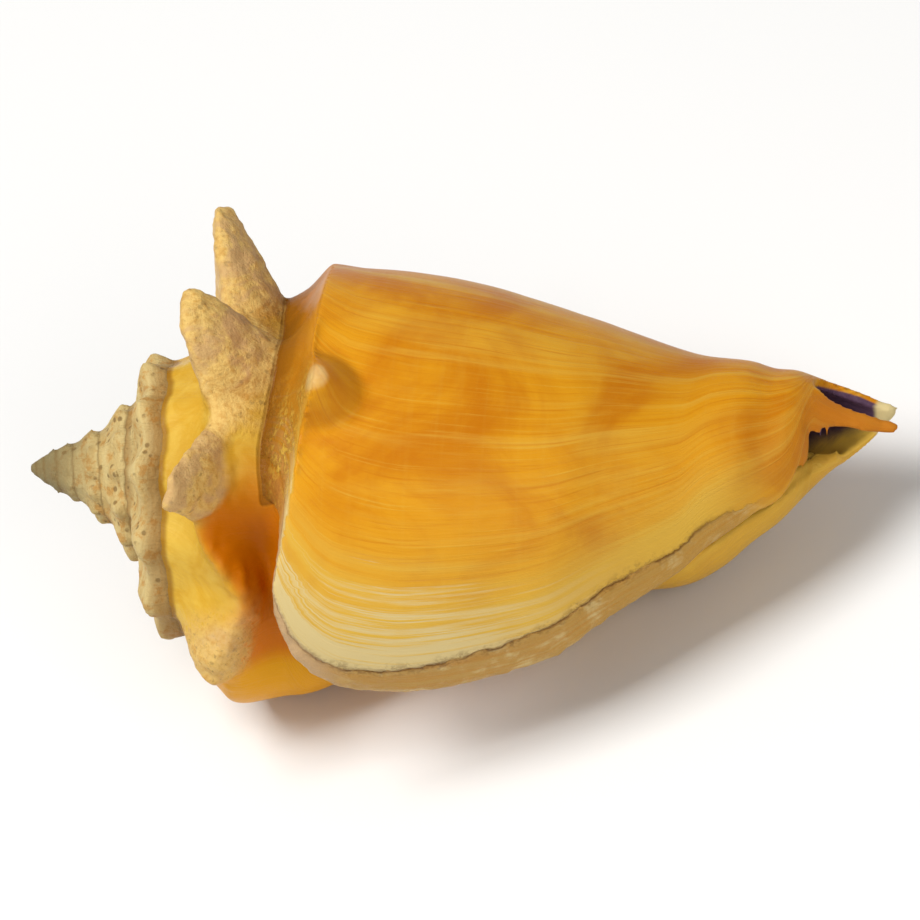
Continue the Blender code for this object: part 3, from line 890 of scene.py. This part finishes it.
def body_coat(paint, at, tones):
    """Amber of the body whorl, streaked with the growth and paler towards the lip."""
    coat = Coat(paint, tones.amber)
    coat.lay(paint.step(0.35, 0.7, at.clouds), tones.deep_amber)
    coat.lay(paint.step(0.5, 0.7, at.bands) * 0.3, tones.yellow)
    coat.lay(paint.step(0.5, 0.7, at.growth_lines) * 0.35, tones.yellow)
    coat.lay(paint.step(0.5, 0.28, at.growth_lines) * 0.5, tones.deep_amber)
    coat.lay(paint.step(0.48, 0.3, at.fine_lines) * 0.6, tones.deep_amber)
    coat.lay(paint.step(0.55, 0.7, at.fine_lines) * 0.3, tones.yellow)
    coat.lay(paint.step(0.5, 0.7, at.threads) * 0.06, tones.yellow)
    pale = paint.step(19.0, 8.0, at.before_lip + at.growth_lines * 22.0 - 11.0 + at.bands * 8.0 - 4.0)
    coat.lay(pale * paint.step(*PALE_HEIGHTS, at.height) * 0.75, tones.yellow)
    cream = paint.step(12.0, 6.5, at.before_lip + at.fine_lines * 26.0 - 13.0 + at.growth_lines * 12.0 - 6.0)
    cream = cream * paint.step(*CREAM_HEIGHTS, at.height + at.before_lip * 0.8)
    coat.lay(cream * 0.9, tones.cream)
    return coat


def add_lip(paint, at, tones, coat):
    """Worn rim, the broken brown line inside it and the thick back margin. Gives the rim and the line."""
    crack_at = at.rim_edge + (at.patches - 0.5) * 2.4 + (at.grains - 0.5) * 0.8
    rim = paint.step(0.15, -0.15, crack_at) * paint.step(*RIM_HEIGHTS, at.height)
    worn = Coat(paint, tones.rim)
    worn.lay(paint.step(0.5, 0.7, at.patches) * 0.8, tones.cream)
    worn.lay(paint.step(0.6, 0.35, at.fine_lines) * 0.7, tones.smudge)
    coat.lay(rim * 0.9, worn.colour)
    crack = paint.bump(0.0, 0.6, crack_at) * paint.step(*CRACK_HEIGHTS, at.height)
    soot = paint.bump(0.0, 1.6, crack_at) * paint.step(0.46, 0.6, at.grains)
    soot = soot * paint.step(*SOOT_HEIGHTS, at.height)
    crack = paint.maths("MAXIMUM", crack * paint.step(0.38, 0.52, at.patches) * 0.85, soot * 0.55)
    coat.lay(crack, tones.crack)
    margin = paint.step(4.8, 2.8, at.before_lip + at.patches * 2.0 - 1.0)
    coat.lay(margin * paint.step(*MARGIN_HEIGHTS, at.height) * 0.85, tones.lip_pink)
    return rim, crack


def add_last_whorl(paint, at, tones, coat):
    """Flap beside the canal, and the ramp with the crust of granules near its end. Gives the granules."""
    tongue = paint.step(*TONGUE_HEIGHTS, at.height) * paint.step(*TONGUE_TURNS, at.turn)
    coat.lay(tongue * 0.75, tones.tongue)
    ramp = paint.step(0.3, -1.2, at.past) * at.last_whorl
    coat.lay(ramp * 0.8, tones.ochre)
    granules = paint.bump(0.98, 0.1, at.turn) * ramp
    granules = granules * paint.step(0.42, 0.56, at.grains) * paint.step(0.4, 0.6, at.patches)
    coat.lay(granules * 0.7, tones.yellow)
    return granules


def bone_colour(paint, at, tones):
    """Cream of the spines, with smudges, yellow feet and brown pits."""
    bone = Coat(paint, tones.bone)
    bone.lay(paint.step(0.4, 0.7, at.grains), tones.bone_grey)
    smudge = paint.maths("MAXIMUM", paint.bump(3.2, 2.2, at.past), 0.35) * paint.step(0.45, 0.6, at.patches)
    bone.lay(smudge * 0.8, tones.smudge)
    foot = paint.step(1.6, 0.4, at.rise) * paint.step(0.3, 0.5, at.clouds)
    bone.lay(foot * 0.6, tones.ramp_yellow)
    pitted = paint.step(0.5, 0.62, paint.noise(at.spot, 0.9, 3.0))
    bone.lay(paint.step(0.36, 0.2, paint.cells(at.spot, 0.8)) * pitted * 0.5, tones.stain)
    return bone.colour


def add_old_whorl(paint, at, tones, coat):
    """Whorl before the last: yellow ramp, cream spines, and red-orange hollow darkened with painted shade.
    Gives the rough zones.
    """
    before_last = 1 - at.last_whorl
    old_body = before_last * paint.step(*OLD_BODY_HEIGHTS, at.height)
    coat.lay(old_body * 0.6, tones.yellow)
    old = before_last * paint.step(*OLD_WHORL_HEIGHTS, at.height)
    ramp_colour = paint.mix(paint.step(0.35, 0.7, at.patches), tones.ramp_yellow, tones.yellow)
    coat.lay(old, ramp_colour)
    wide = paint.step(*WIDE_SPINE_TURNS, at.turn + at.patches * 0.06 - 0.03)
    band = paint.maths("MAXIMUM", wide, paint.step(2.2, 1.2, at.past)) * paint.step(*SMALL_SPINE_TURNS, at.turn)
    cream_side = paint.step(-0.9, -0.2, at.past) * band * old
    bone = bone_colour(paint, at, tones)
    coat.lay(cream_side, bone)
    # Orange glaze of the hollow behind the third spine, partly real colour, darkened and reddened as painted
    # shade of its depth
    hollow = paint.step(1.2, 3.6, at.past + paint.step(0.0, 0.06, at.turn) * 2.6)
    coat.lay(paint.step(*SHADED_HOLLOW_TURNS, at.turn) * hollow * old, tones.hollow)
    last_spine = paint.step(*LAST_SPINE_TURNS, at.turn)
    tips = paint.step(1.9, 3.0, at.rise - last_spine * 1.9 + (at.patches - 0.5) * 0.8)
    tip_colour = paint.mix(paint.step(0.4, 0.6, at.patches) * 0.6, bone, tones.lip_pink)
    coat.lay(tips * 0.9, paint.mix(last_spine, tip_colour, tones.cream))
    crust = paint.bump(0.18, 0.08, at.turn) * paint.step(0.8, 2.0, at.rise)
    coat.lay(crust * paint.step(0.3, 0.55, at.grains) * 0.9, bone)
    flecks = paint.step(0.58, 0.66, paint.noise(at.spot, 2.2, 4.0, 0.7))
    coat.lay(flecks * paint.maths("MAXIMUM", crust, tips * 0.5) * 0.6, tones.stain)
    return cream_side, crust


def add_spire(paint, at, tones, coat):
    """Chalky spire, and painted shade in the sutures of every whorl. Gives the spire, the line and the specks.
    """
    spire = paint.step(*SPIRE_TURNS, at.turn)
    chalk = Coat(paint, tones.chalk)
    chalk.lay(paint.step(0.35, 0.65, at.threads), tones.pale_chalk)
    chalk.lay(paint.step(0.5, 0.62, paint.noise(at.spot, 0.7, 6.0, 0.7)) * 0.6, tones.smudge)
    chalk.lay(paint.step(0.45, 0.3, at.fine_lines) * 0.35, tones.stain)
    chalk.lay(paint.step(*APEX_HEIGHTS, at.height) * 0.85, tones.apex)
    coat.lay(spire, chalk.colour)
    # Painted shade: a dark band along the sutures of the large whorls, where the next whorl shades the groove
    shade = paint.step(3.8, 0.0, at.seam + at.patches * 3.0 - 1.5)
    shade = shade * paint.step(*SUTURE_SHADE_TURNS, at.turn) * paint.step(1.4, 0.4, at.past)
    coat.lay(shade * 0.9, tones.suture_shade)
    # Painted shade along the sutures of the spire's last whorls
    foot = paint.step(1.6, 0.2, at.seam) * spire * paint.step(*SPIRE_SUTURE_SHADE_TURNS, at.turn)
    coat.lay(foot * 0.5, tones.suture_shade)
    # Thin dark line on each suture: brown stain on the spire, painted shade on the large whorls
    seam_line = paint.step(0.0, 0.3, 0.42 - spire * 0.2 - at.seam) * (1 - at.inside)
    seam_line = seam_line * paint.step(2.0, 9.0, at.before_lip)
    coat.lay(seam_line * 0.7, paint.mix(spire, tones.suture_shade, tones.stain))
    specks = paint.step(0.32, 0.16, paint.cells(at.spot, 0.9)) * spire * paint.step(0.45, 0.55, at.patches)
    coat.lay(specks * 0.8, tones.stain)
    return spire, seam_line, specks


def add_mouth(paint, at, tones, coat):
    """Callus glaze, yellow inner face of the aperture brightened as painted light shining through the thin
    wall, and the broken tip of the canal.
    """
    coat.lay(paint.step(0.4, 1.8, at.callus), tones.glaze)
    canal = paint.step(*CANAL_HEIGHTS, at.height) * paint.step(*CANAL_TURNS, at.turn + at.patches * 0.1 - 0.05)
    # Inner face: yellow colour, brightened as painted light that stands in for light shining through the thin
    # wall
    coat.lay(at.inside, paint.mix(canal, tones.lit_lining, tones.purple))
    broken = paint.step(*BROKEN_TIP_HEIGHTS, at.height) * paint.step(*BROKEN_TIP_TURNS, at.turn)
    coat.lay(broken, tones.cream)


def shell_material(tones):
    """Amber enamel, cream spines, chalky spire, callus glaze and purple-brown canal of the shell."""
    paint = Paint("conch_enamel")
    at = Place(paint)
    coat = body_coat(paint, at, tones)
    rim, crack = add_lip(paint, at, tones, coat)
    granules = add_last_whorl(paint, at, tones, coat)
    cream_side, crust = add_old_whorl(paint, at, tones, coat)
    spire, seam_line, specks = add_spire(paint, at, tones, coat)
    add_mouth(paint, at, tones, coat)
    paint.set(paint.shader.inputs["Base Color"], coat.colour)
    dull = paint.maths("MAXIMUM", cream_side, spire)
    paint.set(paint.shader.inputs["Roughness"], 0.32 + dull * 0.25 + (at.grains - 0.5) * 0.2)
    paint.shader.inputs["Specular IOR Level"].default_value = 0.08
    for crusty in (crust, granules, rim):
        dull = paint.maths("MAXIMUM", dull, crusty)
    relief = at.growth_lines * 0.5 + at.fine_lines * 0.45
    relief = relief + at.threads * (0.04 + dull * 0.8) + at.grains * (0.06 + dull * 1.3)
    relief = relief - crack * 0.7 - seam_line * 0.6 - specks * 0.4
    bump = paint.node("ShaderNodeBump", {}, {"Strength": 0.6, "Distance": 0.3 * MM, "Height": relief})
    paint.set(paint.shader.inputs["Normal"], Field(paint, bump.outputs["Normal"]))
    return paint.material


def plain_material(name, colour, roughness):
    """Even finish for the stage."""
    paint = Paint(name)
    paint.shader.inputs["Base Color"].default_value = (*colour, 1)
    paint.shader.inputs["Roughness"].default_value = roughness
    return paint.material


def tone(name, description, default):
    """Colour that a user can change."""
    return bpy.props.FloatVectorProperty(
        name=name, description=description, default=default, size=3, min=0.0, max=1.0, subtype="COLOR"
    )


class ConchTones(bpy.types.PropertyGroup):
    """Colours of the shell."""

    amber: tone("Amber", "Main colour of the body whorl", (0.62, 0.265, 0.008))
    deep_amber: tone("Deep amber", "Darker clouds and lines of the body whorl", (0.48, 0.15, 0.003))
    yellow: tone("Yellow", "Paler growth bands", (0.64, 0.41, 0.06))
    cream: tone("Cream", "Pale zone along the lip", (0.62, 0.49, 0.23))
    rim: tone("Rim", "Worn rim of the lip", (0.44, 0.25, 0.06))
    lip_pink: tone("Lip pink", "Thick back margin of the lip, and spine tips", (0.54, 0.35, 0.18))
    tongue: tone("Tongue", "Flap of the lip beside the canal", (0.50, 0.16, 0.012))
    crack: tone("Crack", "Brown line inside the rim", (0.12, 0.04, 0.004))
    ochre: tone("Ochre", "Ramp of the last whorl", (0.38, 0.13, 0.002))
    ramp_yellow: tone("Ramp yellow", "Ramp of the whorl before the last", (0.56, 0.31, 0.025))
    bone: tone("Bone", "Spines and their keel", (0.70, 0.46, 0.14))
    bone_grey: tone("Grey bone", "Darker parts of the spines", (0.56, 0.31, 0.075))
    smudge: tone("Smudge", "Ochre smudges on the spines and spire", (0.44, 0.19, 0.025))
    # Orange glaze of the hollow, darker and redder as painted shade of its depth
    hollow: tone("Hollow", "Glazed hollow behind the spines", (0.60, 0.16, 0.001))
    chalk: tone("Chalk", "Spire", (0.52, 0.36, 0.135))
    pale_chalk: tone("Pale chalk", "Pale spiral lines of the spire", (0.60, 0.46, 0.20))
    # Painted shade: dark brown laid in the sutures of the large whorls
    suture_shade: tone("Groove", "Suture of the large whorls", (0.20, 0.07, 0.004))
    apex: tone("Apex", "Weathered tip of the spire", (0.19, 0.15, 0.07))
    stain: tone("Stain", "Brown specks and sutures of the spire", (0.20, 0.12, 0.04))
    glaze: tone("Glaze", "Callus pad beside the aperture", (0.68, 0.30, 0.002))
    # Yellow inner face, brightened as painted light shining through the thin wall
    lit_lining: tone("Lining", "Inner face of the aperture", (0.80, 0.48, 0.07))
    purple: tone("Purple", "Inner face of the front canal", (0.08, 0.04, 0.07))


class ConchSizes(bpy.types.PropertyGroup):
    """Fineness of the skin."""

    voxel: bpy.props.FloatProperty(
        name="Voxel",
        description="Grain of the skin",
        default=0.00035,
        min=0.0002,
        subtype="DISTANCE",
        unit="LENGTH",
    )
    smoothing: bpy.props.IntProperty(
        name="Smoothing", description="Passes that soften the skin", default=5, min=0
    )
    triangles: bpy.props.IntProperty(
        name="Triangles", description="Most triangles to keep", default=190000, min=1000
    )


def settle(skin):
    """Lays the skin down, fits it in the solid's box and wears its foot flat. Gives the apex's place."""
    skin.transform(resting_turn())
    point = get_vectors(skin.vertices, "co")
    low, high = point.min(axis=0), point.max(axis=0)
    sunk = Vector((0, 0, WORN_DEPTH * MM))
    box = np.array(CAD_BOX[1]) - CAD_BOX[0] + sunk
    fit = Matrix.Diagonal((*np.minimum(box / (high - low), 1), 1))
    foot = Vector(((low[0] + high[0]) / 2, (low[1] + high[1]) / 2, low[2]))
    move = Matrix.Translation(-sunk) @ fit @ Matrix.Translation(-foot)
    skin.transform(move)
    for vert in skin.vertices:
        vert.co.z = max(vert.co.z, 0.0)
    return move.translation


class CONCH_OT_shell(bpy.types.Operator):
    """Grow the shell and paint it"""

    bl_idname = "conch.shell"
    bl_label = "Shell"

    def execute(self, context):
        sizes, tones = context.scene.conch_sizes, context.scene.conch_tones
        voxel = sizes.voxel * 1.0
        remesh = ("REMESH", {"mode": "VOXEL", "voxel_size": voxel, "use_smooth_shade": True})
        soften = ("SMOOTH", {"factor": 0.5, "iterations": sizes.smoothing})
        skin = finished(joined([core(), wall(), pillar()]), [remesh, soften])
        skin.calc_loop_triangles()
        kept = min(1.0, sizes.triangles / len(skin.loop_triangles))
        skin = finished(skin, [("DECIMATE", {"ratio": kept})])
        add_flow(skin)
        weather(skin)
        context.scene["conch_apex"] = settle(skin)[:]
        skin.shade_smooth()
        skin.materials.clear()
        skin.materials.append(shell_material(tones))
        shell = bpy.data.objects.new("fighting_conch", skin)
        context.scene.collection.objects.link(shell)
        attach(shell, "root")
        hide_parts(NODE)
        return {"FINISHED"}


def add_camera(scene):
    """Camera at the photograph's viewing angle, with the apex at its place in the frame."""
    turn = resting_turn().to_3x3()
    side, slope = math.radians(AXIS_TURN), math.radians(AXIS_SLOPE)
    towards = turn @ Vector((math.sin(side), 0, math.cos(side)))
    flat_right = turn @ Vector((math.cos(side), 0, -math.sin(side)))
    flat_up = turn @ Vector((0, 1, 0))
    right = flat_right * math.cos(slope) + flat_up * math.sin(slope)
    up = flat_up * math.cos(slope) - flat_right * math.sin(slope)
    half = FRAME_PX / 2
    offset = (right * (half - APEX_PX[0]) + up * (APEX_PX[1] - half)) / PX_PER_MM * MM
    centre = Vector(scene["conch_apex"]) + offset
    distance = FRAME_PX / PX_PER_MM * MM * LENS / SENSOR
    camera = bpy.data.objects.new("camera", bpy.data.cameras.new("camera"))
    scene.collection.objects.link(camera)
    camera.data.lens = LENS
    camera.data.sensor_width = SENSOR
    camera.data.clip_start, camera.data.clip_end = CLIP
    axes = Matrix((right, up, towards)).transposed().to_4x4()
    camera.matrix_world = Matrix.Translation(centre + towards * distance) @ axes
    scene.camera = camera


class CONCH_OT_stage(bpy.types.Operator):
    """Lay the floor, hang the lights and set the camera"""

    bl_idname = "conch.stage"
    bl_label = "Stage"

    def execute(self, context):
        add_camera(context.scene)
        floor_mesh = bpy.data.meshes.new("floor")
        bm = bmesh.new()
        bmesh.ops.create_grid(bm, x_segments=1, y_segments=1, size=FLOOR_HALF_WIDTH)
        bm.to_mesh(floor_mesh)
        bm.free()
        floor_mesh.materials.append(plain_material("pale_floor", FLOOR_COLOUR, 0.9))
        floor = bpy.data.objects.new("floor", floor_mesh)
        context.scene.collection.objects.link(floor)

        world = bpy.data.worlds.new("studio")
        context.scene.world = world
        world.use_nodes = True
        sky = world.node_tree.nodes["Background"]
        sky.inputs["Color"].default_value = (*SKY_COLOUR, 1)
        sky.inputs["Strength"].default_value = SKY_STRENGTH
        for name, offset, size, power in LAMPS:
            lamp = bpy.data.lights.new(name, "AREA")
            lamp.energy = power
            lamp.size = size
            light = bpy.data.objects.new(name, lamp)
            light.location = offset
            light.rotation_euler = (-Vector(offset)).to_track_quat("-Z", "Y").to_euler()
            context.scene.collection.objects.link(light)
        context.scene.view_settings.view_transform = "Standard"
        return {"FINISHED"}


class CONCH_PT_panel(bpy.types.Panel):
    """Sidebar panel that lists the pieces"""

    bl_label = "Fighting Conch"
    bl_idname = "CONCH_PT_panel"
    bl_space_type = "VIEW_3D"
    bl_region_type = "UI"
    bl_category = "Conch"

    def draw(self, context):
        for piece in PIECES:
            self.layout.operator(piece.bl_idname)
        for group in (context.scene.conch_sizes, context.scene.conch_tones):
            for name in group.__annotations__:
                self.layout.prop(group, name)


PIECES = (CONCH_OT_shell, CONCH_OT_stage)
CLASSES = (ConchTones, ConchSizes, *PIECES, CONCH_PT_panel)


def register():
    for item in CLASSES:
        bpy.utils.register_class(item)
    bpy.types.Scene.conch_tones = bpy.props.PointerProperty(type=ConchTones)
    bpy.types.Scene.conch_sizes = bpy.props.PointerProperty(type=ConchSizes)


def unregister():
    del bpy.types.Scene.conch_tones
    del bpy.types.Scene.conch_sizes
    for item in reversed(CLASSES):
        bpy.utils.unregister_class(item)


def main():
    """Makes every piece in order."""
    register()
    bpy.ops.conch.shell()
    bpy.ops.conch.stage()


if __name__ == "__main__":
    main()
